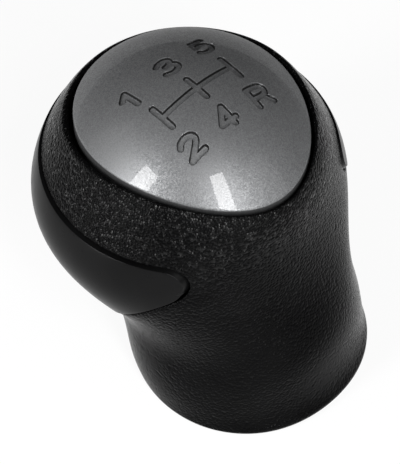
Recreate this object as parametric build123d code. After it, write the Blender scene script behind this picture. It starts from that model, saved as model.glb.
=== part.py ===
from build123d import *
from math import cos, pi, radians, sin, sqrt, tan
import os

# Gear shift knob: a hollow moulded grip that leans forward from a round base, with a domed cap
# let into its top, a crescent trim round its front, and a split bush that grips the gear lever.
# Millimetres, Z up along the lever, Y towards the front of the car, origin at the mouth of the
# lever bore in the middle of the base.

# Outer form of the grip: level oval sections, from the base up to the head.
BASE_RADIUS = 22.0
BASE_EDGE_RADIUS = 1.4
SKIRT_HEIGHT = 4.5
SKIRT_FORWARD = 2.2
SKIRT_HALF_WIDTH = 22.2
SKIRT_HALF_LENGTH = 21.2
NECK_HEIGHT = 11.3
NECK_FORWARD = 4.0
NECK_HALF_WIDTH = 21.7
NECK_HALF_LENGTH = 21.9
CHIN_HEIGHT = 21.7
CHIN_FORWARD = 11.2
CHIN_HALF_WIDTH = 23.5
CHIN_HALF_LENGTH = 25.7
HEAD_HEIGHT = 32.0
HEAD_FORWARD = 16.8
HEAD_HALF_WIDTH = 28.2
HEAD_HALF_LENGTH = 27.1
SHOULDER_RISE = 11.0
SHOULDER_LEAN = 0.2
SHOULDER_HALF_WIDTH = 24.9
SHOULDER_HALF_LENGTH = 25.3
WALL = 4.0

# Domed cap, measured down from its crown, and the seat for it in the head.
CROWN_RISE = 27.5
CAP_SETBACK = 0.7
CAP_HALF_WIDTH = 18.75
CAP_HALF_LENGTH = 21.8
CAP_EGG = 0.08
DOME_RADIUS_ACROSS = 26.5
DOME_RADIUS_ALONG = 29.1
CAP_WALL = 2.2
CAP_GAP = 0.6
CAP_FIT = 0.15
GROOVE_DROP = 13.0
SEAT_DROP = 14.6
LEDGE_WIDTH = 3.5
LEDGE_THICKNESS = 3.0
LIP_RADIUS = 0.8
LIP_PROUD = 0.4
LIP_DROP = 10.0
CLOSING_DROP = 6.0

# Snap legs under the cap.
LEG_COUNT = 4
LEG_WIDTH = 7.0
LEG_THICKNESS = 1.6
LEG_CLEARANCE = 0.15
HOOK_REACH = 1.1
HOOK_LENGTH = 2.4

# Crescent trim: side view outline, skin, and the pegs that hold it.
TRIM_RISE = 8.6
TRIM_DROP = 12.0
TRIM_REACH = 18.5
TRIM_SLOPE = 43.0
TRIM_TIP_RADIUS = 3.8
TRIM_KNEE_RADIUS = 12.0
TRIM_THICKNESS = 2.0
TRIM_PROUD = 0.3
TRIM_EDGE_RADIUS = 0.5
TRIM_GAP = 0.35
TRIM_SEAT_GAP = 0.1
PEG_RADIUS = 2.0
PEG_SPACING = 12.0
PEG_FIT = 0.1
BARB_RADIUS = 2.4
BARB_LENGTH = 2.6
BARB_CLEARANCE = 1.4

# Lever socket inside the grip, and the bush in it.
LEVER_RADIUS = 6.0
BORE_LENGTH = 28.0
BUSH_WALL = 2.0
BUSH_FIT = 0.05
FLANGE_THICKNESS = 1.6
FLANGE_STEP = 2.0
SLOT_COUNT = 4
SLOT_WIDTH = 1.4
SLOT_LENGTH = 16.0
SOCKET_WALL = 2.4
SOCKET_ROOF = 2.5
RIB_COUNT = 6
RIB_THICKNESS = 1.8
RIB_HEIGHT = 9.0

# Reach of the cutting solids past the part, and points round an oval.
BEYOND = 80.0
OVAL_POINTS = 12

# Heights and radii that follow from the sizes above.
CROWN_HEIGHT = HEAD_HEIGHT + CROWN_RISE
CAP_FORWARD = HEAD_FORWARD - CAP_SETBACK
SEAT_HEIGHT = CROWN_HEIGHT - SEAT_DROP
GROOVE_HEIGHT = CROWN_HEIGHT - GROOVE_DROP
LEDGE_HEIGHT = SEAT_HEIGHT - LEDGE_THICKNESS
BUSH_RADIUS = LEVER_RADIUS + BUSH_WALL
SOCKET_RADIUS = BUSH_RADIUS + BUSH_FIT
STANDING = (Align.CENTER, Align.CENTER, Align.MIN)
SPOKE = (Align.MIN, Align.CENTER, Align.MIN)


def oval(half_width, half_length, egg=0.0):
    """Level oval face, begun at the rear. An egg share makes it wider towards the front."""
    points = []
    for step in range(OVAL_POINTS):
        turn = 2 * pi * step / OVAL_POINTS - pi / 2
        points.append((half_width * cos(turn) * (1 + egg * sin(turn)), half_length * sin(turn)))
    return make_face(Spline(*points, periodic=True))


def chord(radius, drop):
    """Half the chord of a circle at a drop below its top."""
    return sqrt(radius**2 - (radius - drop) ** 2)


def outer_form(inset=0.0):
    """Form of the whole knob up to the slope of the dome, each section drawn in by the inset."""
    sections = [
        (0.0, 0.0, BASE_RADIUS, BASE_RADIUS),
        (SKIRT_HEIGHT, SKIRT_FORWARD, SKIRT_HALF_WIDTH, SKIRT_HALF_LENGTH),
        (NECK_HEIGHT, NECK_FORWARD, NECK_HALF_WIDTH, NECK_HALF_LENGTH),
        (CHIN_HEIGHT, CHIN_FORWARD, CHIN_HALF_WIDTH, CHIN_HALF_LENGTH),
        (HEAD_HEIGHT, HEAD_FORWARD, HEAD_HALF_WIDTH, HEAD_HALF_LENGTH),
        (
            HEAD_HEIGHT + SHOULDER_RISE,
            HEAD_FORWARD + SHOULDER_LEAN,
            SHOULDER_HALF_WIDTH,
            SHOULDER_HALF_LENGTH,
        ),
    ]
    for drop in (LIP_DROP, CLOSING_DROP):
        half_width = chord(DOME_RADIUS_ACROSS + LIP_PROUD, drop + LIP_PROUD)
        half_length = chord(DOME_RADIUS_ALONG + LIP_PROUD, drop + LIP_PROUD)
        sections.append((CROWN_HEIGHT - drop, CAP_FORWARD, half_width, half_length))
    faces = []
    for height, forward, half_width, half_length in sections:
        faces.append(Pos(0, forward, height) * oval(half_width - inset, half_length - inset))
    return loft(faces)


def cap_outline(inset, height):
    """Egg outline of the cap at a height, drawn in by the inset."""
    outline = oval(CAP_HALF_WIDTH - inset, CAP_HALF_LENGTH - inset, CAP_EGG)
    return Pos(0, CAP_FORWARD, height) * outline


def cap_prism(inset, bottom):
    """Upright prism on the cap's outline, from a height to past the crown."""
    return extrude(cap_outline(inset, bottom), amount=BEYOND)


def dome(inset):
    """Barrel whose top is the cap's dome: one radius across, a longer one front to rear."""
    across = DOME_RADIUS_ACROSS - inset
    along = DOME_RADIUS_ALONG - inset
    reach = CAP_HALF_WIDTH + CAP_GAP
    edge = along - across + sqrt(across**2 - reach**2)
    profile = make_face(
        [
            Line((-reach, 0), (reach, 0)),
            Line((reach, 0), (reach, edge)),
            ThreePointArc((reach, edge), (0, along), (-reach, edge)),
            Line((-reach, edge), (-reach, 0)),
        ]
    )
    barrel = revolve(Plane.XZ * profile, axis=Axis.X)
    return Pos(0, CAP_FORWARD, CROWN_HEIGHT - DOME_RADIUS_ALONG) * barrel


def trim_outline():
    """Side view of the crescent: level upper edge, round tip at the rear, falling lower edge."""
    top = HEAD_HEIGHT + TRIM_RISE
    bottom = HEAD_HEIGHT - TRIM_DROP
    tip = HEAD_FORWARD - TRIM_REACH
    corner = tip + TRIM_TIP_RADIUS * (1 - 1 / tan(radians(TRIM_SLOPE / 2)))
    knee = corner + (top - bottom) / tan(radians(TRIM_SLOPE))
    outline = make_face(
        Polyline((BEYOND, top), (corner, top), (knee, bottom), (BEYOND, bottom), close=True)
    )
    outline = fillet(outline.vertices().sort_by(Axis.X)[0], TRIM_TIP_RADIUS)
    knee_vertex = outline.vertices().sort_by_distance((knee, bottom))[0]
    return fillet(knee_vertex, TRIM_KNEE_RADIUS)


def trim_prism(gap=0.0):
    """The crescent's side view carried right across the knob, with a gap round it."""
    outline = offset(trim_outline(), amount=gap) if gap else trim_outline()
    return extrude(Plane.YZ * outline, amount=BEYOND, both=True)


def peg_places():
    """Each peg's distance across, and how far forward its barb starts behind the grip's wall."""
    places = []
    for across in (-PEG_SPACING, 0.0, PEG_SPACING):
        share = (abs(across) + BARB_RADIUS) / (HEAD_HALF_WIDTH - WALL)
        wall = HEAD_FORWARD + (HEAD_HALF_LENGTH - WALL) * sqrt(1 - share**2)
        places.append((across, wall - BARB_CLEARANCE))
    return places


def peg_bar(across, rear, radius):
    """Round bar from a point behind the grip's wall out past the front of the knob."""
    bar = Cylinder(radius, BEYOND, align=STANDING)
    return Pos(across, rear, HEAD_HEIGHT) * Rot(-90, 0, 0) * bar


def make_grip_shell():
    """Hollow grip with its lever socket and ribs, cap seat and trim recess."""
    form = outer_form()
    shell = fillet(form.edges().group_by(Axis.Z)[0], BASE_EDGE_RADIUS)
    cavity = split(outer_form(WALL), bisect_by=Plane.XY.offset(LEDGE_HEIGHT), keep=Keep.BOTTOM)
    shell -= cavity

    socket_length = BORE_LENGTH + SOCKET_ROOF - FLANGE_THICKNESS
    socket = Cylinder(SOCKET_RADIUS + SOCKET_WALL, socket_length, align=STANDING)
    shell += Pos(0, 0, FLANGE_THICKNESS) * socket & form
    for number in range(RIB_COUNT):
        rib = Pos(0, 0, BORE_LENGTH) * Box(BEYOND, RIB_THICKNESS, RIB_HEIGHT, align=SPOKE)
        shell += Rot(0, 0, 360 * number / RIB_COUNT) * rib & cavity
    shell -= Cylinder(SOCKET_RADIUS, BORE_LENGTH, align=STANDING)

    shell -= cap_prism(LEDGE_WIDTH, LEDGE_HEIGHT)
    shell -= cap_prism(-CAP_FIT, SEAT_HEIGHT)
    shell -= cap_prism(-CAP_GAP, GROOVE_HEIGHT)
    mouth = shell.edges().filter_by(lambda edge: edge.is_closed).sort_by(Axis.Z)[-1]
    shell = fillet(mouth, LIP_RADIUS)

    recess = form - outer_form(TRIM_THICKNESS + TRIM_SEAT_GAP)
    shell -= recess & trim_prism(TRIM_GAP)
    for across, barb in peg_places():
        shell -= peg_bar(across, barb, PEG_RADIUS + PEG_FIT)
    return shell


def make_top_cap():
    """Domed cap with a skirt that stands on the seat and legs that snap under the ledge."""
    cap = cap_prism(0.0, SEAT_HEIGHT) & dome(0.0)
    cap -= cap_prism(CAP_WALL, SEAT_HEIGHT) & dome(CAP_WALL)

    face = LEDGE_WIDTH + LEG_CLEARANCE
    hook_top = LEDGE_HEIGHT - LEG_CLEARANCE
    hook_bottom = hook_top - HOOK_LENGTH
    hook = loft([cap_outline(face - HOOK_REACH, hook_top), cap_outline(face, hook_bottom)])
    legs = (cap_prism(face, hook_bottom) & dome(CAP_WALL / 2)) + hook
    legs -= cap_prism(face + LEG_THICKNESS, hook_bottom)
    for number in range(LEG_COUNT):
        sector = Pos(0, CAP_FORWARD, 0) * Rot(0, 0, 360 * number / LEG_COUNT)
        cap += legs & sector * Box(BEYOND, LEG_WIDTH, BEYOND, align=SPOKE)
    return cap


def make_front_trim():
    """Crescent skin let into the grip, with barbed pegs that push through its wall."""
    trim = (outer_form(-TRIM_PROUD) - outer_form(TRIM_THICKNESS)) & trim_prism()
    outside = trim.faces().sort_by(Axis.Y)[-1]
    trim = fillet(outside.outer_wire().edges(), TRIM_EDGE_RADIUS)
    inside = outer_form(TRIM_THICKNESS / 2)
    for across, barb in peg_places():
        trim += peg_bar(across, barb, PEG_RADIUS) & inside
        point = Cone(PEG_RADIUS / 2, BARB_RADIUS, BARB_LENGTH, align=STANDING)
        trim += Pos(across, barb - BARB_LENGTH, HEAD_HEIGHT) * Rot(-90, 0, 0) * point
    return trim


def make_lever_bush():
    """Flanged bush, slit from its upper end so that it closes on the lever."""
    bush = Cylinder(BUSH_RADIUS, BORE_LENGTH, align=STANDING)
    bush += Cylinder(BUSH_RADIUS + FLANGE_STEP, FLANGE_THICKNESS, align=STANDING)
    bush -= Cylinder(LEVER_RADIUS, BORE_LENGTH, align=STANDING)
    for number in range(SLOT_COUNT):
        slot = Pos(0, 0, BORE_LENGTH - SLOT_LENGTH) * Box(BEYOND, SLOT_WIDTH, SLOT_LENGTH, align=SPOKE)
        bush -= Rot(0, 0, 360 * number / SLOT_COUNT) * slot
    return bush


os.makedirs("parts", exist_ok=True)
export_step(make_grip_shell(), "parts/grip_shell.step")
export_step(make_top_cap(), "parts/top_cap.step")
export_step(make_front_trim(), "parts/front_trim.step")
export_step(make_lever_bush(), "parts/lever_bush.step")
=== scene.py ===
from math import acos, asin, atan2, cos, pi, radians, sin, sqrt, tan

import bmesh
import bpy
import numpy as np
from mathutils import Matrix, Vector


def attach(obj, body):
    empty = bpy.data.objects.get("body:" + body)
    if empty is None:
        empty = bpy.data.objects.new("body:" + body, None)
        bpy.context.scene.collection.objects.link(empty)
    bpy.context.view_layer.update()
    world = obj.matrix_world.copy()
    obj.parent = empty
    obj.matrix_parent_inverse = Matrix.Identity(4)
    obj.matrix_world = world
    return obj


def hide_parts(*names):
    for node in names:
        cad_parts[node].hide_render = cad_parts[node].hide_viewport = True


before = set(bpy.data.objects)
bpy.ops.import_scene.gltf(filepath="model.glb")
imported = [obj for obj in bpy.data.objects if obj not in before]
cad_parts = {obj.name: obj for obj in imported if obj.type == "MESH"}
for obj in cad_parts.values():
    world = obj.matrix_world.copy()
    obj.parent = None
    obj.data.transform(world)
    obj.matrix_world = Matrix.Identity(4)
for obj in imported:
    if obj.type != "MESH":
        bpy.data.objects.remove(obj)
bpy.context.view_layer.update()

bpy.context.scene.view_settings.view_transform = "Standard"


# Grip: one hollow moulding in black plastic with a fine leather-like grain cut into the mould. Its
# round base leans forward into an oval head with the cap's seat, the trim's recess and the pegs'
# holes in it, and a socket for the lever hangs inside it from six ribs.
MM = 0.001
BEYOND = 87.2
HALVINGS = 40
CRISP_ANGLE = 35
GRIP_TURNS = 180
BASE_STEPS = 6
SIDE_STEPS = 48
LIP_STEPS = 8
CAVITY_STEPS = 21
BLOCK_STEPS = 12
GRIP_WALL = 4.0
BASE_EDGE = 1.4
SHOULDER_HEIGHT = 44.0
LIP_ROUND_REAR = 0.25
LIP_ROUND_FRONT = 0.95
# Height, middle, half width and half length of each level section.
GRIP_LEVELS = (
    (0.0, 0.0, 22.0, 22.0),
    (2.0, 1.4, 22.1, 21.5),
    (4.5, 2.2, 22.2, 21.2),
    (11.3, 4.0, 21.7, 21.9),
    (16.5, 6.9, 21.5, 23.7),
    (21.7, 11.2, 23.5, 25.7),
    (27.0, 14.9, 26.6, 26.9),
    (32.0, 16.8, 28.2, 27.1),
    (37.5, 17.4, 27.5, 26.5),
    (43.0, 17.0, 24.9, 25.3),
    (46.5, 16.5, 22.9, 24.1),
    (49.5, 16.1, 21.2, 22.5),
    (51.5, 16.0, 19.9, 20.9),
    (53.5, 16.1, 17.4, 18.3),
)
CAP_MIDDLE = 16.1
CAP_HALF_WIDTH = 18.75
CAP_HALF_LENGTH = 21.8
CAP_EGG = 0.08
CAP_GAP = 0.6
CAP_FIT = 0.15
GROOVE_HEIGHT = 46.5
SEAT_HEIGHT = 44.9
LEDGE_HEIGHT = 41.9
LEDGE_WIDTH = 3.5
SOCKET_FOOT = 1.6
SOCKET_TOP = 30.5
SOCKET_RADIUS = 8.05
SOCKET_OUTSIDE = 10.45
SOCKET_SIDES = 72
BORE_TOP = 28.0
RIB_COUNT = 6
RIB_THICKNESS = 1.8
RIB_TOP = 37.0
TRIM_TOP = 40.6
TRIM_BOTTOM = 20.0
TRIM_TIP = -1.7
TRIM_SLOPE = 43.0
TRIM_TIP_RADIUS = 3.8
TRIM_KNEE_RADIUS = 12.0
TRIM_COLUMNS = 150
TRIM_ROWS = 22
TIP_COLUMNS = 14
RECESS_GAP = 0.35
RECESS_DEPTH = 2.1
RECESS_ROUND = 0.5
RECESS_STEP = 15
PEG_PLACES = (-12.0, 0.0, 12.0)
PEG_HEIGHT = 32.0
PEG_RADIUS = 2.0
PEG_FIT = 0.1
PEG_SIDES = 40
PEG_BAR = 20.0
BARB_RADIUS = 2.4
BARB_CLEARANCE = 1.4
GRAIN_BLACK = (0.0012, 0.0012, 0.0013, 1)
GRAIN_GREY = (0.0026, 0.0026, 0.0027, 1)
GRAIN_TINT_SCALE = 120.0
GRAIN_GLOSS = (0.14, 0.24)
GRAIN_GLOSS_SCALE = 1500.0
PEBBLE_SCALE = 2000.0
PEBBLE_DEPTH = 0.2
NECK_TOP = 20.0
NECK_DEPTH = 0.55
PALM_LOW = 35.0
PALM_HIGH = 44.0
POLISHED_FROM = 0.56
POLISHED_TO = 0.8
POLISH = 0.3


def even_slopes(levels):
    """Slopes with height at which the form bends evenly from each level to the next."""
    spans = np.diff(levels[:, 0])[:, None]
    rates = np.diff(levels[:, 1:], axis=0) / spans
    between = 3 * (spans[1:] * rates[:-1] + spans[:-1] * rates[1:])
    weights = np.eye(len(levels))
    weights[0, 1] = weights[-1, -2] = 1
    for number in range(1, len(levels) - 1):
        below, above = spans[number - 1, 0], spans[number, 0]
        weights[number, number - 1 : number + 2] = above, 2 * (below + above), below
    return np.linalg.solve(weights, np.concatenate((2 * rates[:1], between, 2 * rates[-1:])))


GRIP_SLOPES = even_slopes(np.array(GRIP_LEVELS)).tolist()


def section(height):
    """Middle, half width and half length of the grip at a height, on smooth lines through its levels."""
    low = max(n for n in range(len(GRIP_LEVELS) - 1) if n == 0 or GRIP_LEVELS[n][0] <= height)
    start, end = GRIP_LEVELS[low], GRIP_LEVELS[low + 1]
    span = end[0] - start[0]
    share = (height - start[0]) / span
    found = []
    for column in (1, 2, 3):
        leave = GRIP_SLOPES[low][column - 1] * span
        reach = GRIP_SLOPES[low + 1][column - 1] * span
        rise = end[column] - start[column]
        sag = 3 * rise - 2 * leave - reach
        bend = leave + reach - 2 * rise
        found.append(start[column] + share * (leave + share * (sag + share * bend)))
    return found


def skin(turn, height, inset=0.0):
    """Point of the grip's outer form at a turn and a height, drawn in level by the inset."""
    middle, half_width, half_length = section(height)
    across = (half_width - inset) * cos(turn)
    along = middle + (half_length - inset) * sin(turn)
    return Vector((across, along, height)) * MM


def egg(turn, outset, height, share=1.0):
    """Point of the cap's egg outline, drawn out by the outset, at a height."""
    across = share * (CAP_HALF_WIDTH + outset) * cos(turn) * (1 + CAP_EGG * sin(turn))
    along = CAP_MIDDLE + share * (CAP_HALF_LENGTH + outset) * sin(turn)
    return Vector((across, along, height)) * MM


def egg_shares(point, outset):
    """How far across and along a point lies, as shares of the egg outline's reach there."""
    along = (point.y / MM - CAP_MIDDLE) / (CAP_HALF_LENGTH + outset)
    across = point.x / MM / (CAP_HALF_WIDTH + outset) / (1 + CAP_EGG * along)
    return across, along


def lip_height(turn):
    """Height at which the grip's outer form meets the mouth of the cap's groove."""
    low, high = SHOULDER_HEIGHT, GRIP_LEVELS[-1][0]
    for _ in range(HALVINGS):
        middle = (low + high) / 2
        across, along = egg_shares(skin(turn, middle), CAP_GAP)
        if across**2 + along**2 > 1:
            low = middle
        else:
            high = middle
    return low


def lip_turn(turn):
    """Turn round the cap's outline of the lip's point at a turn round the grip."""
    across, along = egg_shares(skin(turn, lip_height(turn)), CAP_GAP)
    return atan2(along, across)


def rounded(start, corner, end, share):
    """Point on the round of a corner, from its start on one side to its end on the other."""
    pull = 2 * share * (1 - share) * sin((start - corner).angle(end - corner) / 2)
    whole = (1 - share) ** 2 + pull + share**2
    return (start * (1 - share) ** 2 + corner * pull + end * share**2) / whole


def base_rise(turn):
    """How far in and how far up the round of the base's edge reaches at a turn."""
    corner = skin(turn, 0.0)
    side = skin(turn, 1.0) - corner
    reach = BASE_EDGE / tan(side.angle(skin(turn, 0.0, 1.0) - corner) / 2)
    return reach, reach * side.normalized().z


def base_round(turn, share):
    """Point of the rounded base edge, from the flat of the base up into the side."""
    reach, rise = base_rise(turn)
    return rounded(skin(turn, 0.0, reach), skin(turn, 0.0), skin(turn, rise), share)


def lip_reach(turn):
    """Height of the lip's corner, and how far down the groove's wall and the side its round reaches."""
    height = lip_height(turn)
    corner = skin(turn, height)
    side = skin(turn, height - 1) - corner
    radius = LIP_ROUND_REAR + (LIP_ROUND_FRONT - LIP_ROUND_REAR) * (1 + sin(turn)) / 2
    reach = radius / tan(side.angle(Vector((0, 0, -1))) / 2)
    return height, reach, -reach * side.normalized().z


def lip_round(turn, share):
    """Point of the rounded lip, from the side over into the groove's wall."""
    height, reach, drop = lip_reach(turn)
    corner = skin(turn, height)
    return rounded(skin(turn, height - drop), corner, corner - Vector((0, 0, reach * MM)), share)


def side_height(turn, share):
    """Height between the base's round and the lip's at a turn."""
    height, _, drop = lip_reach(turn)
    return base_rise(turn)[1] * (1 - share) + (height - drop) * share


def start_rings(name, turns, place):
    """Begins a piece as one ring of points, each set by its turn, and stays in edit mode."""
    bpy.ops.object.select_all(action="DESELECT")
    bpy.ops.mesh.primitive_circle_add(vertices=turns, radius=CAP_HALF_WIDTH * MM)
    piece = bpy.context.object
    piece.name = piece.data.name = name
    bpy.ops.object.mode_set(mode="EDIT")
    mesh = bmesh.from_edit_mesh(piece.data)
    layer = mesh.verts.layers.float.new("turn")
    for vert in mesh.verts:
        vert[layer] = atan2(vert.co.y, vert.co.x)
        vert.co = place(vert[layer])
    bmesh.update_edit_mesh(piece.data)
    return piece


def next_ring(place):
    """Extrudes the last ring and sets each of the new points by its turn."""
    bpy.ops.mesh.extrude_edges_indiv()
    data = bpy.context.edit_object.data
    mesh = bmesh.from_edit_mesh(data)
    layer = mesh.verts.layers.float["turn"]
    for vert in mesh.verts:
        if vert.select:
            vert.co = place(vert[layer])
    bmesh.update_edit_mesh(data)


def close_rings(piece):
    """Joins the last ring to what it lies on, turns the faces outwards and leaves edit mode."""
    bpy.ops.mesh.select_all(action="SELECT")
    bpy.ops.mesh.remove_doubles(threshold=MM / 1000)
    bpy.ops.mesh.normals_make_consistent(inside=False)
    bpy.ops.object.mode_set(mode="OBJECT")
    piece.data.attributes.remove(piece.data.attributes["turn"])
    return piece


def combine(piece, tool, operation):
    """Adds a tool to a piece, cuts it out or keeps what both fill, and deletes the tool."""
    change = piece.modifiers.new(operation.lower(), "BOOLEAN")
    change.operation = operation
    change.object = tool
    change.solver = "EXACT"
    bpy.context.view_layer.objects.active = piece
    bpy.ops.object.modifier_apply(modifier=change.name)
    bpy.data.objects.remove(tool)


def smooth_by_angle(piece, angle):
    """Smooth shading, with edges sharper than the angle left crisp."""
    bpy.ops.object.select_all(action="DESELECT")
    piece.select_set(True)
    bpy.context.view_layer.objects.active = piece
    bpy.ops.object.shade_smooth_by_angle(angle=radians(angle))


def crescent_lower(along, gap):
    """Height of the crescent's lower edge at a place along the knob, seen from the side."""
    slope = radians(TRIM_SLOPE)
    bottom = TRIM_BOTTOM - gap
    radius = TRIM_KNEE_RADIUS - gap
    centre_height = TRIM_TOP - TRIM_TIP_RADIUS
    centre_along = TRIM_TIP + TRIM_TIP_RADIUS
    reach = TRIM_TIP_RADIUS + gap
    touch_along = centre_along - reach * sin(slope)
    touch_height = centre_height - reach * cos(slope)
    knee = touch_along + (touch_height - bottom) / tan(slope) + radius * tan(slope / 2)
    if along >= knee:
        return bottom
    if along >= knee - radius * sin(slope):
        return bottom + radius - sqrt(radius**2 - (knee - along) ** 2)
    return touch_height - (along - touch_along) * tan(slope)


def crescent_turn(along, height, inset):
    """Turn of the right-hand point of the form at a place along the knob and a height."""
    middle, _, half_length = section(height)
    return asin(max(-1.0, min(1.0, (along - middle) / (half_length - inset))))


def crescent_edge_height(turn, gap, inset):
    """Height of the crescent's lower edge where it crosses a turn of the form."""
    low, high = TRIM_BOTTOM - gap - 1, TRIM_TOP
    for _ in range(HALVINGS):
        height = (low + high) / 2
        if height < crescent_lower(skin(turn, height, inset).y / MM, gap):
            low = height
        else:
            high = height
    return high


def crescent_point(across, up, gap, inset):
    """Point of the crescent. Across runs from tip to tip, -1 to 1, and up from edge to edge."""
    side = 1 if across <= 0 else -1
    share = 1 - abs(across)
    slope = radians(TRIM_SLOPE)
    reach = TRIM_TIP_RADIUS + gap
    tip_height = TRIM_TOP - TRIM_TIP_RADIUS
    tip_along = TRIM_TIP + TRIM_TIP_RADIUS
    arc = radians(270 - TRIM_SLOPE) + (pi / 2 - radians(270 - TRIM_SLOPE)) * up
    first = crescent_turn(tip_along - reach * sin(slope), tip_height - reach * cos(slope), inset)
    last = crescent_turn(tip_along, TRIM_TOP + gap, inset)
    lower_turn = first + (pi / 2 - first) * share
    upper_turn = last + (pi / 2 - last) * share
    lower_height = crescent_edge_height(lower_turn, gap, inset)
    turn = lower_turn + (upper_turn - lower_turn) * up
    height = lower_height + (TRIM_TOP + gap - lower_height) * up
    bulge = max(0.0, 1 - share * TRIM_COLUMNS / 2 / TIP_COLUMNS) ** 2
    if bulge:
        start_height = crescent_edge_height(first, gap, inset)
        arc_height = tip_height + reach * sin(arc)
        arc_turn = crescent_turn(tip_along + reach * cos(arc), arc_height, inset)
        turn += bulge * (arc_turn - first - (last - first) * up)
        height += bulge * (arc_height - start_height - (TRIM_TOP + gap - start_height) * up)
    point = skin(turn, height, inset)
    point.x *= side
    return point


def crescent_block(name, floor, *rims):
    """Closed crescent raised from a floor through its rims, each a gap round the outline and an inset."""
    bpy.ops.object.select_all(action="DESELECT")
    bpy.ops.mesh.primitive_grid_add(x_subdivisions=TRIM_COLUMNS, y_subdivisions=TRIM_ROWS, size=2)
    block = bpy.context.object
    block.name = block.data.name = name
    bpy.ops.object.mode_set(mode="EDIT")
    mesh = bmesh.from_edit_mesh(block.data)
    layers = [mesh.verts.layers.float.new(axis) for axis in ("across", "up")]
    for vert in mesh.verts:
        vert[layers[0]] = vert.co.x
        vert[layers[1]] = (vert.co.y + 1) / 2
        vert.co = crescent_point(vert[layers[0]], vert[layers[1]], *floor)
    bmesh.update_edit_mesh(block.data)
    bpy.ops.mesh.select_all(action="SELECT")
    for rim in rims:
        bpy.ops.mesh.extrude_region()
        mesh = bmesh.from_edit_mesh(block.data)
        layers = [mesh.verts.layers.float[axis] for axis in ("across", "up")]
        for vert in mesh.verts:
            if vert.select:
                vert.co = crescent_point(vert[layers[0]], vert[layers[1]], *rim)
        bmesh.update_edit_mesh(block.data)
    bpy.ops.mesh.select_all(action="SELECT")
    bpy.ops.mesh.normals_make_consistent(inside=False)
    bpy.ops.object.mode_set(mode="OBJECT")
    for axis in ("across", "up"):
        block.data.attributes.remove(block.data.attributes[axis])
    return block


def form_block(name, inset, low, high):
    """Closed block of the knob's form between two heights, drawn in by the inset."""
    block = start_rings(name, GRIP_TURNS // 2, lambda turn: skin(0.0, low, section(low)[1]))
    for step in range(BLOCK_STEPS + 1):
        next_ring(lambda turn: skin(turn, low + (high - low) * step / BLOCK_STEPS, inset))
    next_ring(lambda turn: skin(0.0, high, section(high)[1]))
    return close_rings(block)


def bar(name, radius, length, rear, across, height):
    """Round bar that runs forward from a rear point, with its place in its mesh."""
    bpy.ops.object.select_all(action="DESELECT")
    bpy.ops.mesh.primitive_cylinder_add(
        vertices=PEG_SIDES,
        radius=radius * MM,
        depth=length * MM,
        location=(across * MM, (rear + length / 2) * MM, height * MM),
        rotation=(pi / 2, 0, 0),
    )
    bpy.context.object.name = name
    bpy.ops.object.transform_apply(location=True, rotation=True)
    return bpy.context.object


def post(name, radius, low, high):
    """Round post that stands between two heights, with its place in its mesh."""
    bpy.ops.object.select_all(action="DESELECT")
    bpy.ops.mesh.primitive_cylinder_add(
        vertices=SOCKET_SIDES,
        radius=radius * MM,
        depth=(high - low) * MM,
        location=(0, 0, (high + low) / 2 * MM),
    )
    bpy.context.object.name = name
    bpy.ops.object.transform_apply(location=True)
    return bpy.context.object


def box(size, middle):
    """Box of a size round a middle point, with its place in its mesh."""
    bpy.ops.object.select_all(action="DESELECT")
    bpy.ops.mesh.primitive_cube_add(size=1)
    bpy.ops.transform.resize(value=Vector(size) * MM)
    bpy.ops.transform.translate(value=Vector(middle) * MM)
    bpy.ops.object.transform_apply(location=True, scale=True)
    return bpy.context.object


def peg_rear(across):
    """Rear end of a peg's shank, clear of the inside of the wall."""
    middle, half_width, half_length = section(PEG_HEIGHT)
    turn = acos((abs(across) + BARB_RADIUS) / (half_width - GRIP_WALL))
    return middle + (half_length - GRIP_WALL) * sin(turn) - BARB_CLEARANCE


grip = start_rings("grip", GRIP_TURNS, lambda turn: skin(turn, 0.0, GRIP_WALL))
for step in range(BASE_STEPS + 1):
    next_ring(lambda turn: base_round(turn, step / BASE_STEPS))
for step in range(1, SIDE_STEPS + 1):
    next_ring(lambda turn: skin(turn, side_height(turn, step / SIDE_STEPS)))
for step in range(1, LIP_STEPS + 1):
    next_ring(lambda turn: lip_round(turn, step / LIP_STEPS))
for outset, height in (
    (CAP_GAP, GROOVE_HEIGHT),
    (CAP_FIT, GROOVE_HEIGHT),
    (CAP_FIT, SEAT_HEIGHT),
    (-LEDGE_WIDTH, SEAT_HEIGHT),
    (-LEDGE_WIDTH, LEDGE_HEIGHT),
):
    next_ring(lambda turn: egg(lip_turn(turn), outset, height))
for step in range(CAVITY_STEPS + 1):
    next_ring(lambda turn: skin(turn, LEDGE_HEIGHT * (1 - step / CAVITY_STEPS), GRIP_WALL))
close_rings(grip)

ribs = box((BEYOND, RIB_THICKNESS, RIB_TOP - BORE_TOP), (0, 0, (RIB_TOP + BORE_TOP) / 2))
for _ in range(RIB_COUNT // 2 - 1):
    bpy.ops.object.select_all(action="DESELECT")
    ribs.select_set(True)
    bpy.context.view_layer.objects.active = ribs
    bpy.ops.object.duplicate()
    pair = bpy.context.object
    pair.rotation_euler.z = pi / RIB_COUNT * 2
    bpy.ops.object.transform_apply(rotation=True)
    combine(ribs, pair, "UNION")
combine(ribs, form_block("rib ends", GRIP_WALL / 2, BORE_TOP / 2, LEDGE_HEIGHT), "INTERSECT")

socket = post("socket", SOCKET_OUTSIDE, SOCKET_FOOT, SOCKET_TOP)
combine(socket, ribs, "UNION")
combine(grip, socket, "UNION")
combine(grip, post("bore", SOCKET_RADIUS, 0.0, BORE_TOP), "DIFFERENCE")

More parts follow.
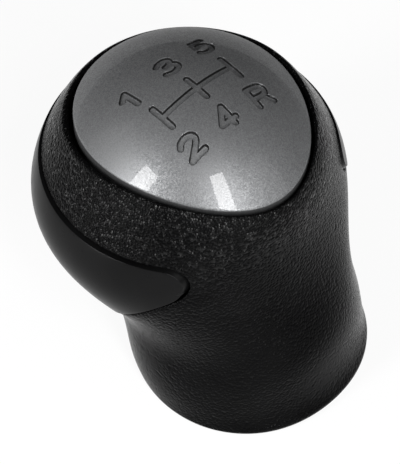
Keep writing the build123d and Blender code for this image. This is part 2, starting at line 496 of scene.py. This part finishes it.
recess_rims = []
for angle in range(0, 90, RECESS_STEP):
    gap = RECESS_GAP + RECESS_ROUND * (1 - cos(radians(angle)))
    recess_rims.append((gap, RECESS_ROUND * (1 - sin(radians(angle)))))
recess_rims.append((RECESS_GAP + 2 * RECESS_ROUND, -RECESS_ROUND / 2))
combine(grip, crescent_block("recess", (RECESS_GAP, RECESS_DEPTH), *recess_rims), "DIFFERENCE")
for across in PEG_PLACES:
    hole = bar("peg hole", PEG_RADIUS + PEG_FIT, PEG_BAR, peg_rear(across), across, PEG_HEIGHT)
    combine(grip, hole, "DIFFERENCE")
smooth_by_angle(grip, CRISP_ANGLE)


def new_finish(name, values):
    """A material with its plain shader values set, its shader, and its Object coordinates."""
    finish = bpy.data.materials.new(name)
    finish.use_nodes = True
    tree = finish.node_tree
    shader = tree.nodes["Principled BSDF"]
    for socket, value in values.items():
        shader.inputs[socket].default_value = value
    place = tree.nodes.new("ShaderNodeTexCoord").outputs["Object"]
    return finish, shader, place


def add_node(tree, kind, values=None, **settings):
    """A node in a tree, with its settings and its unlinked inputs."""
    node = tree.nodes.new(kind)
    for setting, value in settings.items():
        setattr(node, setting, value)
    for socket, value in (values or {}).items():
        node.inputs[socket].default_value = value
    return node


def make_mottle():
    """Soft cloudy value between two limits, as a moulding's skin varies from place to place."""
    mottle = bpy.data.node_groups.new("moulded mottle", "ShaderNodeTree")
    mottle.interface.new_socket("Place", in_out="INPUT", socket_type="NodeSocketVector")
    for name in ("Scale", "Low", "High"):
        mottle.interface.new_socket(name, in_out="INPUT", socket_type="NodeSocketFloat")
    mottle.interface.new_socket("Value", in_out="OUTPUT", socket_type="NodeSocketFloat")
    inside = mottle.nodes.new("NodeGroupInput")
    outside = mottle.nodes.new("NodeGroupOutput")
    cloud = add_node(mottle, "ShaderNodeTexNoise", {"Detail": 3.0, "Roughness": 0.55})
    limits = add_node(mottle, "ShaderNodeMapRange", {"From Min": 0.3, "From Max": 0.7})
    mottle.links.new(inside.outputs["Place"], cloud.inputs["Vector"])
    mottle.links.new(inside.outputs["Scale"], cloud.inputs["Scale"])
    mottle.links.new(cloud.outputs["Fac"], limits.inputs["Value"])
    mottle.links.new(inside.outputs["Low"], limits.inputs["To Min"])
    mottle.links.new(inside.outputs["High"], limits.inputs["To Max"])
    mottle.links.new(limits.outputs["Result"], outside.inputs["Value"])
    return mottle


MOTTLE = make_mottle()


def add_mottle(tree, place, scale, low, high):
    """The mottle group placed in a material with its own scale and limits."""
    node = add_node(tree, "ShaderNodeGroup", node_tree=MOTTLE)
    for socket, value in (("Scale", scale), ("Low", low), ("High", high)):
        node.inputs[socket].default_value = value
    tree.links.new(place, node.inputs["Place"])
    return node.outputs["Value"]


def add_moulded_skin(tree, shader, place, tints, tint_scale, gloss, gloss_scale):
    """Colour and roughness that drift softly between two limits over a moulding."""
    tint = add_node(tree, "ShaderNodeMix", {"A": tints[0], "B": tints[1]}, data_type="RGBA")
    tree.links.new(add_mottle(tree, place, tint_scale, 0.0, 1.0), tint.inputs["Factor"])
    tree.links.new(tint.outputs["Result"], shader.inputs["Base Color"])
    tree.links.new(add_mottle(tree, place, gloss_scale, *gloss), shader.inputs["Roughness"])


black_grain, shader, place = new_finish(
    "grained black plastic", {"IOR": 1.5, "Specular IOR Level": 0.035, "Coat Roughness": 0.06}
)
tree = black_grain.node_tree
grain_tints = (GRAIN_BLACK, GRAIN_GREY)
add_moulded_skin(tree, shader, place, grain_tints, GRAIN_TINT_SCALE, GRAIN_GLOSS, GRAIN_GLOSS_SCALE)
pebble_values = {"Scale": PEBBLE_SCALE, "Smoothness": 0.25}
pebbles = add_node(tree, "ShaderNodeTexVoronoi", pebble_values, feature="SMOOTH_F1")
tree.links.new(place, pebbles.inputs["Vector"])
crown = add_node(tree, "ShaderNodeMath", operation="MULTIPLY")
tree.links.new(pebbles.outputs["Distance"], crown.inputs[0])
tree.links.new(pebbles.outputs["Distance"], crown.inputs[1])
level = add_node(tree, "ShaderNodeSeparateXYZ")
tree.links.new(place, level.inputs["Vector"])
deeper_values = {"From Min": NECK_TOP * MM, "From Max": PALM_HIGH * MM, "To Min": NECK_DEPTH}
deeper = add_node(tree, "ShaderNodeMapRange", deeper_values)
tree.links.new(level.outputs["Z"], deeper.inputs["Value"])
depth = add_node(tree, "ShaderNodeMath", operation="MULTIPLY")
tree.links.new(crown.outputs[0], depth.inputs[0])
tree.links.new(deeper.outputs["Result"], depth.inputs[1])
relief = add_node(tree, "ShaderNodeBump", {"Strength": 1.0, "Distance": PEBBLE_DEPTH * MM}, invert=True)
tree.links.new(depth.outputs[0], relief.inputs["Height"])
tree.links.new(relief.outputs["Normal"], shader.inputs["Normal"])
tree.links.new(relief.outputs["Normal"], shader.inputs["Coat Normal"])
polished_values = {"From Min": POLISHED_FROM, "From Max": POLISHED_TO, "To Max": POLISH}
polished = add_node(tree, "ShaderNodeMapRange", polished_values)
tree.links.new(pebbles.outputs["Color"], polished.inputs["Value"])
palm = add_node(tree, "ShaderNodeMapRange", {"From Min": PALM_LOW * MM, "From Max": PALM_HIGH * MM})
tree.links.new(level.outputs["Z"], palm.inputs["Value"])
worn = add_node(tree, "ShaderNodeMath", operation="MULTIPLY")
tree.links.new(polished.outputs["Result"], worn.inputs[0])
tree.links.new(palm.outputs["Result"], worn.inputs[1])
tree.links.new(worn.outputs[0], shader.inputs["Coat Weight"])
grip.data.materials.clear()
grip.data.materials.append(black_grain)
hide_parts("grip_shell")
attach(grip, "root")


# Lever bush: a short flanged tube of natural nylon, slit from its upper end. It is moulded in one
# piece, pressed up into the grip's socket, and springs shut on the bare end of the gear lever.
NYLON_PALE = (0.62, 0.59, 0.51, 1)
NYLON_SHADE = (0.52, 0.49, 0.41, 1)
NYLON_TINT_SCALE = 260.0
NYLON_GLOSS = (0.36, 0.52)
NYLON_GLOSS_SCALE = 900.0

nylon, shader, place = new_finish("natural nylon", {"IOR": 1.53, "Subsurface Weight": 0.1})
tree = nylon.node_tree
nylon_tints = (NYLON_PALE, NYLON_SHADE)
add_moulded_skin(tree, shader, place, nylon_tints, NYLON_TINT_SCALE, NYLON_GLOSS, NYLON_GLOSS_SCALE)
lever_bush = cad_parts["lever_bush"]
lever_bush.data.materials.clear()
lever_bush.data.materials.append(nylon)


# Front trim: a thin crescent moulding in smooth satin black plastic. It lies in the recess round the
# front of the head, a little proud of the grip, and three barbed pegs hold it through the wall.
TRIM_PROUD = 0.3
TRIM_THICKNESS = 2.0
TRIM_EDGE = 0.7
TRIM_EDGE_STEPS = 4
TRIM_EDGE_ANGLE = 50
BARB_LENGTH = 2.6
PEG_BLOCK_LOW = 28.0
PEG_BLOCK_HIGH = 37.0
SATIN_BLACK = (0.0015, 0.0015, 0.0016, 1)
SATIN_GREY = (0.003, 0.003, 0.0031, 1)
SATIN_TINT_SCALE = 90.0
SATIN_GLOSS = (0.27, 0.34)
SATIN_GLOSS_SCALE = 700.0


def round_edges(piece, width, steps, angle):
    """Rounds the edges of a piece that are sharper than an angle."""
    edge = piece.modifiers.new("edge", "BEVEL")
    edge.width = width * MM
    edge.segments = steps
    edge.limit_method = "ANGLE"
    edge.angle_limit = radians(angle)
    bpy.context.view_layer.objects.active = piece
    bpy.ops.object.modifier_apply(modifier=edge.name)


front_trim = crescent_block("front_trim_skin", (0.0, TRIM_THICKNESS), (0.0, -TRIM_PROUD))
round_edges(front_trim, TRIM_EDGE, TRIM_EDGE_STEPS, TRIM_EDGE_ANGLE)
for across in PEG_PLACES:
    rear = peg_rear(across)
    peg = bar("peg", PEG_RADIUS, PEG_BAR, rear, across, PEG_HEIGHT)
    bpy.ops.object.select_all(action="DESELECT")
    bpy.ops.mesh.primitive_cone_add(
        vertices=PEG_SIDES,
        radius1=BARB_RADIUS * MM,
        radius2=PEG_RADIUS / 2 * MM,
        depth=BARB_LENGTH * MM,
        location=(across * MM, (rear - BARB_LENGTH / 2) * MM, PEG_HEIGHT * MM),
        rotation=(pi / 2, 0, 0),
    )
    barb = bpy.context.object
    bpy.ops.object.transform_apply(location=True, rotation=True)
    peg_end = form_block("peg end", TRIM_THICKNESS / 2, PEG_BLOCK_LOW, PEG_BLOCK_HIGH)
    combine(peg, peg_end, "INTERSECT")
    combine(peg, barb, "UNION")
    combine(front_trim, peg, "UNION")
smooth_by_angle(front_trim, CRISP_ANGLE)

satin_black, shader, place = new_finish("satin black plastic", {"IOR": 1.5, "Specular IOR Level": 0.11})
tree = satin_black.node_tree
satin_tints = (SATIN_BLACK, SATIN_GREY)
add_moulded_skin(tree, shader, place, satin_tints, SATIN_TINT_SCALE, SATIN_GLOSS, SATIN_GLOSS_SCALE)
front_trim.data.materials.clear()
front_trim.data.materials.append(satin_black)
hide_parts("front_trim")
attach(front_trim, "root")


# Top cap: a domed egg-shaped moulding with a skirt, painted mid grey with fine metal flake under a
# clear coat. The shift pattern is sunk into it before painting, and four legs snap under the ledge.
CAP_TURNS = 240
DOME_STEPS = 72
UNDERSIDE_STEPS = 24
CAP_CROWN = 59.5
CAP_ROUND_ACROSS = 26.5
CAP_ROUND_ALONG = 29.1
CAP_WALL = 2.2
CAP_RIM = 0.25
CAP_RIM_STEPS = 3
CAP_CRISP_ANGLE = 30
LEG_INSET = 3.65
LEG_THICKNESS = 1.6
LEG_WIDTH = 7.0
LEG_FOOT = 39.35
HOOK_HEIGHT = 41.75
HOOK_REACH = 1.1
CROSS_HEIGHT = 47.6
PATTERN_ACROSS = -0.15
PATTERN_MIDDLE = 15.45
PATTERN_COLUMN = 7.9
PATTERN_ROW = 7.1
GATE_REACH = 2.43
STROKE_WIDTH = 1.05
STROKE_DEPTH = 0.5
STROKE_EDGE = 0.26
STROKE_STEPS = 5
STROKE_CUTS = 4
CUT_BAND = 1.25 * STROKE_EDGE
DOME_BAND = 3 * STROKE_EDGE
# Lines of each number or letter, round the middle of its place.
GLYPHS = {
    "1": (((-1.75, 0.85), (-0.5, 1.75)), ((-0.5, 1.75), (-0.5, -1.75))),
    "2": (
        (
            (-1.55, 1.05), (-1.0, 1.58), (0.0, 1.78), (0.95, 1.5),
            (1.35, 0.85), (1.05, 0.15), (0.2, -0.55), (-1.5, -1.75),
        ),
        ((-1.5, -1.75), (1.4, -1.75)),
    ),
    "3": (
        ((-1.45, 1.3), (-0.6, 1.75), (0.35, 1.75), (1.05, 1.35), (1.05, 0.7), (0.4, 0.25), (-0.4, 0.15)),
        ((-0.4, 0.15), (0.65, 0.1), (1.35, -0.4), (1.35, -1.2), (0.6, -1.7), (-0.5, -1.75), (-1.5, -1.3)),
    ),
    "4": (((0.4, 1.75), (0.4, -1.75)), ((0.4, 1.75), (-1.8, -0.95)), ((-1.8, -0.95), (1.25, -0.95))),
    "5": (
        ((-1.0, 1.7), (1.3, 1.7)),
        ((-1.0, 1.7), (-1.35, 0.1)),
        (
            (-1.35, 0.1), (-0.4, 0.45), (0.5, 0.4), (1.25, -0.15),
            (1.35, -1.0), (0.65, -1.65), (-0.5, -1.75), (-1.5, -1.25),
        ),
    ),
    "R": (
        ((-1.7, 1.75), (-1.7, -1.75)),
        ((-1.7, 1.75), (0.2, 1.75), (1.15, 1.5), (1.5, 0.85), (1.2, 0.15), (0.2, -0.15), (-1.7, -0.15)),
        ((0.2, -0.15), (1.6, -1.75)),
    ),
}
# Each glyph with its column and row.
PATTERN = (("1", -1, 1), ("3", 0, 1), ("5", 1, 1), ("2", -1, -1), ("4", 0, -1), ("R", 1, -1))
PAINT_DARK = (0.106, 0.108, 0.111, 1)
PAINT_PALE = (0.222, 0.225, 0.229, 1)
PAINT_FILM = 0.02
PAINT_COAT = 0.108
PAINT_METAL = 0.6
PAINT_GLOSS = (0.4, 0.48)
PAINT_GLOSS_SCALE = 4000.0
FLAKE_SCALE = 6200.0
FLAKE_TILT = 0.14
# Black of the bare skirt under the rim, also used as painted shade for the gap round the cap and on the
# strokes' walls.
BARE_AND_SHADE_BLACK = (0.006, 0.006, 0.006, 1)
BARE_ROUGHNESS = 0.8
# Depths under the dome over which the skirt turns black, as painted shade in the gap below the rim.
BARE_SHADE_FROM = 0.6 * CAP_RIM
BARE_SHADE_BELOW = 1.1 * CAP_RIM
# Where across the strokes' walls the painted shade in the grooves lies, and how far it spreads.
WALL_SHADE_MIDDLE = 0.52
WALL_SHADE_FROM = 0.525
WALL_SHADE_WITHIN = 0.275


def dome(point, sink):
    """The point of the cap's dome above or below a point, at a depth under its surface."""
    across = CAP_ROUND_ACROSS - sink
    along = CAP_ROUND_ALONG - sink
    ring = along - across + sqrt(across**2 - (point.x / MM) ** 2)
    height = CAP_CROWN - CAP_ROUND_ALONG + sqrt(ring**2 - (point.y / MM - CAP_MIDDLE) ** 2)
    return Vector((point.x, point.y, height * MM))


top_cap = start_rings("top_cap_dome", CAP_TURNS, lambda turn: dome(egg(turn, 0.0, 0.0, 0.0), 0.0))
for step in range(1, DOME_STEPS + 1):
    next_ring(lambda turn: dome(egg(turn, 0.0, 0.0, step / DOME_STEPS), 0.0))
next_ring(lambda turn: egg(turn, 0.0, SEAT_HEIGHT))
next_ring(lambda turn: egg(turn, -CAP_WALL, SEAT_HEIGHT))
for step in range(UNDERSIDE_STEPS + 1):
    next_ring(lambda turn: dome(egg(turn, -CAP_WALL, 0.0, 1 - step / UNDERSIDE_STEPS), CAP_WALL))
close_rings(top_cap)
round_edges(top_cap, CAP_RIM, CAP_RIM_STEPS, CAP_CRISP_ANGLE)

legs = start_rings("legs", CAP_TURNS, lambda turn: egg(turn, -LEG_INSET - LEG_THICKNESS, LEG_FOOT))
next_ring(lambda turn: egg(turn, -LEG_INSET, LEG_FOOT))
next_ring(lambda turn: egg(turn, HOOK_REACH - LEG_INSET, HOOK_HEIGHT))
next_ring(lambda turn: egg(turn, -LEG_INSET, HOOK_HEIGHT))
next_ring(lambda turn: dome(egg(turn, -LEG_INSET, 0.0), CAP_WALL / 2))
next_ring(lambda turn: dome(egg(turn, -LEG_INSET - LEG_THICKNESS, 0.0), CAP_WALL / 2))
next_ring(lambda turn: egg(turn, -LEG_INSET - LEG_THICKNESS, LEG_FOOT))
close_rings(legs)
cross_middle = (0, CAP_MIDDLE, CROSS_HEIGHT)
cross = box((BEYOND, LEG_WIDTH, CAP_CROWN), cross_middle)
combine(cross, box((LEG_WIDTH, BEYOND, CAP_CROWN), cross_middle), "UNION")
combine(legs, cross, "INTERSECT")
combine(top_cap, legs, "UNION")


def eased(points):
    """The points of a bent stroke with more between them, on a smooth line through them."""
    if len(points) == 2:
        return points
    line = []
    ends = np.array([points[0], *points, points[-1]])
    for before, start, end, after in zip(ends, ends[1:], ends[2:], ends[3:]):
        sag = before - 2.5 * start + 2 * end - after / 2
        bend = 1.5 * (start - end) + (after - before) / 2
        for step in range(STROKE_STEPS):
            share = step / STROKE_STEPS
            line.append(start + share * ((end - before) / 2 + share * (sag + share * bend)))
    return [*line, points[-1]]


def ramp(value, none, full):
    """Share that rises evenly from 0 at one value to 1 at another, and goes no further."""
    return max(0.0, min(1.0, (value - none) / (full - none)))


def stroke_distance(places, lines):
    """Distance of each place, across and along the cap, from the nearest line of the pattern."""
    nearest = np.full(len(places), CAP_HALF_LENGTH)
    for line in lines:
        for start, end in zip(line, line[1:]):
            run = np.subtract(end, start)
            share = np.clip((places - start) @ run / (run @ run), 0, 1)
            nearest = np.minimum(nearest, np.linalg.norm(places - start - np.outer(share, run), axis=1))
    return nearest


gate = [((-PATTERN_COLUMN, 0), (PATTERN_COLUMN, 0))]
for column in (-PATTERN_COLUMN, 0, PATTERN_COLUMN):
    gate.append(((column, -GATE_REACH), (column, GATE_REACH)))
pattern = [np.array(line) + (PATTERN_ACROSS, PATTERN_MIDDLE) for line in gate]
for glyph, column, row in PATTERN:
    middle = (PATTERN_ACROSS + column * PATTERN_COLUMN, PATTERN_MIDDLE + row * PATTERN_ROW)
    pattern += [np.array(eased(points)) + middle for points in GLYPHS[glyph]]

bpy.ops.object.mode_set(mode="EDIT")
bpy.ops.mesh.select_all(action="DESELECT")
mesh = bmesh.from_edit_mesh(top_cap.data)
middles = np.array([face.calc_center_median() for face in mesh.faces]) / MM
reach = stroke_distance(middles[:, :2], pattern)
for face, middle, distance in zip(mesh.faces, middles, reach):
    edge_near = abs(distance - STROKE_WIDTH / 2) < CUT_BAND
    face.select_set(bool(edge_near and middle[2] > SEAT_HEIGHT + CAP_WALL and face.normal.z > 0))
bmesh.update_edit_mesh(top_cap.data)
bpy.ops.mesh.subdivide(number_cuts=STROKE_CUTS)
bpy.ops.object.mode_set(mode="OBJECT")
spots = np.empty(len(top_cap.data.vertices) * 3, dtype=np.float32)
top_cap.data.vertices.foreach_get("co", spots)
spots = spots.reshape(-1, 3)
reach = stroke_distance(spots[:, :2] / MM, pattern)

# Below the rim the cap is bare black plastic, which also stands as painted shade for the gap round the
# cap, and the walls of the strokes are darkened as painted shade in the grooves.
bare_and_painted_shade = top_cap.data.attributes.new("bare_and_painted_shade", "FLOAT", "POINT")
for number, vert in enumerate(top_cap.data.vertices):
    depth = (dome(vert.co, 0.0).z - vert.co.z) / MM
    if depth > PAINT_FILM:
        bare_and_painted_shade.data[number].value = ramp(depth, BARE_SHADE_FROM, BARE_SHADE_BELOW)
    elif reach[number] < STROKE_WIDTH / 2 + DOME_BAND:
        share = ramp(reach[number], (STROKE_WIDTH + STROKE_EDGE) / 2, (STROKE_WIDTH - STROKE_EDGE) / 2)
        vert.co = dome(vert.co, STROKE_DEPTH * share * share * (3 - 2 * share))
        # Painted shade on the stroke's wall, darkest midway down it.
        bare_and_painted_shade.data[number].value = ramp(abs(share - WALL_SHADE_MIDDLE), WALL_SHADE_FROM, WALL_SHADE_WITHIN)
smooth_by_angle(top_cap, CAP_CRISP_ANGLE)

flake_paint, shader, place = new_finish(
    "grey flake paint",
    {"Specular Tint": (0.4, 0.4, 0.4, 1), "Coat IOR": 2.2, "Coat Roughness": 0.03, "IOR": 1.3},
)
tree = flake_paint.node_tree
flakes = add_node(tree, "ShaderNodeTexVoronoi", {"Scale": FLAKE_SCALE})
tree.links.new(place, flakes.inputs["Vector"])
tint = add_node(tree, "ShaderNodeMix", {"A": PAINT_DARK, "B": PAINT_PALE}, data_type="RGBA")
tree.links.new(flakes.outputs["Color"], tint.inputs["Factor"])
# Mask of bare plastic and painted shade: it blackens the skirt below the rim and the strokes' walls, and
# takes away their coat and metal.
bare_and_shade = add_node(tree, "ShaderNodeAttribute", attribute_name="bare_and_painted_shade").outputs["Fac"]
shade = add_node(tree, "ShaderNodeMix", {"B": BARE_AND_SHADE_BLACK}, data_type="RGBA")
tree.links.new(bare_and_shade, shade.inputs["Factor"])
tree.links.new(tint.outputs["Result"], shade.inputs["A"])
tree.links.new(shade.outputs["Result"], shader.inputs["Base Color"])
coat = add_node(tree, "ShaderNodeMapRange", {"To Min": PAINT_COAT, "To Max": 0.0})
tree.links.new(bare_and_shade, coat.inputs["Value"])
tree.links.new(coat.outputs["Result"], shader.inputs["Coat Weight"])
metal = add_node(tree, "ShaderNodeMapRange", {"To Min": PAINT_METAL, "To Max": 0.0})
tree.links.new(bare_and_shade, metal.inputs["Value"])
tree.links.new(metal.outputs["Result"], shader.inputs["Metallic"])
dull = add_node(tree, "ShaderNodeMapRange", {"To Max": BARE_ROUGHNESS})
tree.links.new(bare_and_shade, dull.inputs["Value"])
tree.links.new(add_mottle(tree, place, PAINT_GLOSS_SCALE, *PAINT_GLOSS), dull.inputs["To Min"])
tree.links.new(dull.outputs["Result"], shader.inputs["Roughness"])
lean = add_node(tree, "ShaderNodeVectorMath", {1: (-0.5, -0.5, -0.5)}, operation="ADD")
tree.links.new(flakes.outputs["Color"], lean.inputs[0])
tilt = add_node(tree, "ShaderNodeVectorMath", {1: (FLAKE_TILT,) * 3}, operation="MULTIPLY_ADD")
tree.links.new(lean.outputs["Vector"], tilt.inputs[0])
tree.links.new(tree.nodes.new("ShaderNodeNewGeometry").outputs["Normal"], tilt.inputs[2])
facing = add_node(tree, "ShaderNodeVectorMath", operation="NORMALIZE")
tree.links.new(tilt.outputs["Vector"], facing.inputs[0])
tree.links.new(facing.outputs["Vector"], shader.inputs["Normal"])
top_cap.data.materials.clear()
top_cap.data.materials.append(flake_paint)
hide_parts("top_cap")
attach(top_cap, "root")


# Studio: a sheet of white paper, two tall windows that the clear coat mirrors with a pale
# wall beside each, a dim room darker towards the front, and the camera at the photograph's place.
PAPER_SIZE = 6.0
PAPER_WHITE = (0.8, 0.8, 0.8, 1)
PAPER_GLOW = 0.9
ROOM_DIM = 0.03
ROOM_BRIGHT = 0.12
ROOM_BRIGHT_SIDE = (-0.62, -0.66, 0.42)
LIGHT_MIDDLE = Vector((0, CAP_MIDDLE, CAP_CROWN)) * MM
LIGHT_DISTANCE = 0.6
# Name, bearing, lift, width, height and power.
LIGHTS = (
    ("left window", 172.0, 25.0, 0.135, 0.485, 4.1),
    ("right window", -110.0, 30.5, 0.12, 0.625, 4.8),
    ("left wall", 140.0, 30.0, 0.4, 0.4, 0.35),
    ("right wall", -75.0, 30.0, 0.4, 0.4, 0.5),
)
CAMERA_PLACE = (-0.1634, -0.15294, 0.3416)
CAMERA_TURN = (35.9604, -0.3721, -43.7961)
CAMERA_LENS = 170.4

bpy.ops.object.select_all(action="DESELECT")
bpy.ops.mesh.primitive_plane_add(size=PAPER_SIZE)
paper_sheet = bpy.context.object
paper_sheet.name = "paper_sheet"
white_paper, shader, place = new_finish("white paper", {"Base Color": PAPER_WHITE, "Roughness": 0.9})
tree = white_paper.node_tree
glow = add_node(tree, "ShaderNodeEmission", {"Strength": 1.0})
rays = tree.nodes.new("ShaderNodeLightPath")
seen = add_node(tree, "ShaderNodeMath", operation="MAXIMUM")
tree.links.new(rays.outputs["Is Camera Ray"], seen.inputs[0])
tree.links.new(rays.outputs["Is Glossy Ray"], seen.inputs[1])
through = add_node(tree, "ShaderNodeMath", operation="MAXIMUM")
tree.links.new(seen.outputs[0], through.inputs[0])
tree.links.new(rays.outputs["Is Transmission Ray"], through.inputs[1])
share = add_node(tree, "ShaderNodeMath", {1: PAPER_GLOW}, operation="MULTIPLY")
tree.links.new(through.outputs[0], share.inputs[0])
blend = tree.nodes.new("ShaderNodeMixShader")
tree.links.new(share.outputs[0], blend.inputs["Fac"])
tree.links.new(shader.outputs[0], blend.inputs[1])
tree.links.new(glow.outputs[0], blend.inputs[2])
tree.links.new(blend.outputs[0], tree.nodes["Material Output"].inputs["Surface"])
paper_sheet.data.materials.append(white_paper)

room = bpy.data.worlds.new("room")
room.use_nodes = True
tree = room.node_tree
toward = add_node(tree, "ShaderNodeVectorMath", {1: ROOM_BRIGHT_SIDE}, operation="DOT_PRODUCT")
tree.links.new(tree.nodes.new("ShaderNodeTexCoord").outputs["Generated"], toward.inputs[0])
room_values = {"From Min": -1.0, "From Max": 1.0, "To Min": ROOM_DIM, "To Max": ROOM_BRIGHT}
level = add_node(tree, "ShaderNodeMapRange", room_values)
tree.links.new(toward.outputs["Value"], level.inputs["Value"])
tree.links.new(level.outputs["Result"], tree.nodes["Background"].inputs["Strength"])
tree.nodes["Background"].inputs["Color"].default_value = (1, 1, 1, 1)
bpy.context.scene.world = room

for name, bearing, lift, width, height, power in LIGHTS:
    bearing, lift = radians(bearing), radians(lift)
    aim = Vector((cos(bearing) * cos(lift), sin(bearing) * cos(lift), sin(lift)))
    bpy.ops.object.light_add(type="AREA", location=LIGHT_MIDDLE + aim * LIGHT_DISTANCE)
    light = bpy.context.object
    light.name = name
    light.data.shape = "RECTANGLE"
    light.data.size = width
    light.data.size_y = height
    light.data.energy = power
    light.rotation_euler = aim.to_track_quat("Z", "Y").to_euler()

bpy.ops.object.camera_add(location=CAMERA_PLACE, rotation=[radians(turn) for turn in CAMERA_TURN])
camera = bpy.context.object
camera.data.lens = CAMERA_LENS
camera.data.sensor_width = 36.0
camera.data.clip_start = 0.01
bpy.context.scene.camera = camera
